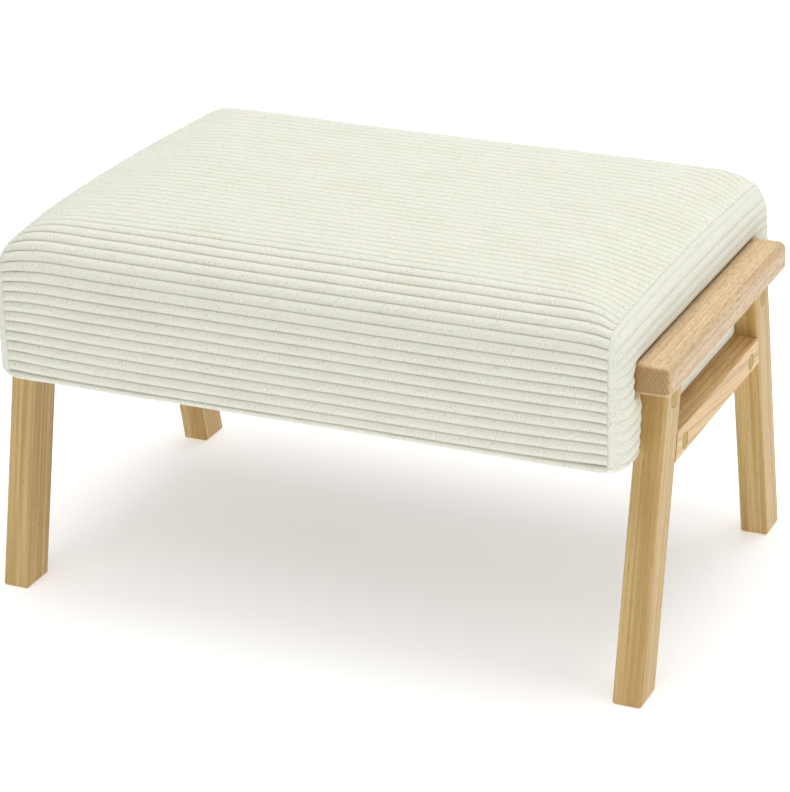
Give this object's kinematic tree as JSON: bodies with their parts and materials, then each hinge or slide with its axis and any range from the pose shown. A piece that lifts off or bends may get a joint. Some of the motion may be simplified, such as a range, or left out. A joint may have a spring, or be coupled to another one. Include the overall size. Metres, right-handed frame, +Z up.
{
  "type": "upholstered footstool",
  "caption": "Upholstered footstool with a thick corduroy-covered pad held between two wooden side frames with raked legs, rounded top rails and lower rails.",
  "frame": {"origin": "on the floor, under the middle of the seat", "axes": "+X from the left side frame to the right one, -Y to the front, +Z up"},
  "size_m": [0.619, 0.3984, 0.346],
  "materials": {
    "leg_wood": "clear satin lacquer",
    "rail_wood": "clear satin lacquer",
    "dowel_wood": "bare beech",
    "softwood": "bare pine",
    "plywood": "bare plywood",
    "steel": "zinc plated",
    "cap_plastic": "matte olive yellow",
    "foam": "open-cell foam",
    "wadding": "polyester fibre",
    "corduroy": "wide-wale corduroy pile",
    "dust_cloth": "non-woven cloth"
  },
  "bodies": {
    "root": {"leg_front_left": "leg_wood", "leg_rear_left": "leg_wood", "top_rail_left": "rail_wood", "lower_rail_left": "rail_wood", "top_rail_dowels_left": "dowel_wood", "lower_rail_dowels_left": "dowel_wood", "seat_bolts_left": "steel", "cross_rail_bolts_left": "steel", "bolt_washers_left": "steel", "bolt_caps_left": "cap_plastic", "tee_nuts_left": "steel", "barrel_nuts_left": "steel", "seat_board_left": "softwood", "seat_brace_left": "softwood", "cover_side_panel_left": "corduroy", "leg_front_right": "leg_wood", "leg_rear_right": "leg_wood", "top_rail_right": "rail_wood", "lower_rail_right": "rail_wood", "top_rail_dowels_right": "dowel_wood", "lower_rail_dowels_right": "dowel_wood", "seat_bolts_right": "steel", "cross_rail_bolts_right": "steel", "bolt_washers_right": "steel", "bolt_caps_right": "cap_plastic", "tee_nuts_right": "steel", "barrel_nuts_right": "steel", "seat_board_right": "softwood", "seat_brace_right": "softwood", "cover_side_panel_right": "corduroy", "cross_rail_front": "softwood", "seat_board_front": "softwood", "edge_foam_front": "foam", "cross_rail_rear": "softwood", "seat_board_rear": "softwood", "edge_foam_rear": "foam", "seat_screws": "steel", "corner_blocks": "softwood", "seat_deck": "plywood", "foam_core": "foam", "foam_topper": "foam", "wadding": "wadding", "cover_main_panel": "corduroy", "dust_cover": "dust_cloth"}
  },
  "joints": []
}
